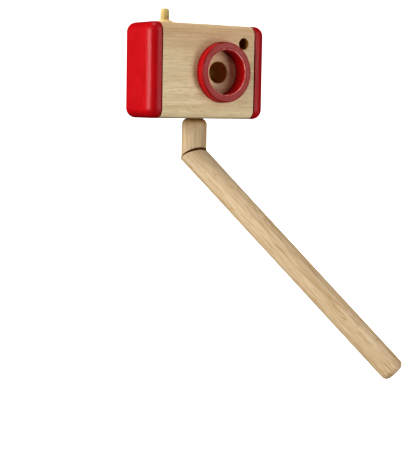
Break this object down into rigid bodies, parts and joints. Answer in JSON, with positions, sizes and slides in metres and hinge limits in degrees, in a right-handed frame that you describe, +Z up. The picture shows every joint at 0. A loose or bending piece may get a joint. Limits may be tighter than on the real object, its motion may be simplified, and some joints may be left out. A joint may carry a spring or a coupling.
{
  "type": "toy camera",
  "caption": "Wooden toy camera on a two-piece hand stick: painted end caps, a turning lens ring, a sprung shutter peg and a stick that swivels on a slanted cut.",
  "frame": {"origin": "on the axis of the lower stick, in the middle of the grip, 60 mm from the stick's free end", "axes": "+Z up with the camera upright, the lens looks along -Y, +X to the right of someone who faces the lens"},
  "size_m": [0.1787, 0.1433, 0.2881],
  "materials": {
    "body_wood": "pale hardwood, sanded, clear matt lacquer",
    "turned_wood": "pale hardwood, turned, clear matt lacquer",
    "stick_wood": "pale hardwood dowel, sanded, clear matt lacquer",
    "dowel_wood": "plain beech dowel",
    "red_paint": "red paint over wood, satin",
    "yellow_paint": "yellow stain over wood, satin",
    "steel": "plain steel",
    "nylon": "moulded nylon",
    "washer_rubber": "thin dark rubber sheet"
  },
  "bodies": {
    "handle": {"stick_lower": "stick_wood", "pivot_pin": "steel", "pivot_snap_ring": "steel"},
    "camera": {"body_block": "body_wood", "left_end_cap": "red_paint", "right_end_cap": "red_paint", "left_cap_dowels": "dowel_wood", "right_cap_dowels": "dowel_wood", "lens_hub": "turned_wood", "button_collar": "turned_wood", "button_spring": "steel", "stick_upper": "stick_wood", "neck_dowel": "dowel_wood", "pivot_bush": "nylon", "friction_washer": "washer_rubber"},
    "lens": {"lens_ring": "red_paint"},
    "shutter": {"shutter_button": "yellow_paint"}
  },
  "joints": [
    {"name": "stick_swivel", "type": "hinge", "parent": "handle", "child": "camera", "pos_m": [-0.08714, 0.08682, 0.12588], "axis": [0, -0.5, -0.866], "continuous": true},
    {"name": "lens_turn", "type": "hinge", "parent": "camera", "child": "lens", "pos_m": [-0.07514, 0.05982, 0.19158], "axis": [0, -1, 0], "continuous": true},
    {"name": "shutter_press", "type": "slide", "parent": "camera", "child": "shutter", "axis": [0, 0, -1], "range_m": [0, 0.0035], "stiffness_N_per_m": 250, "springref_m": -0.004, "deforming": ["button_spring"]}
  ]
}
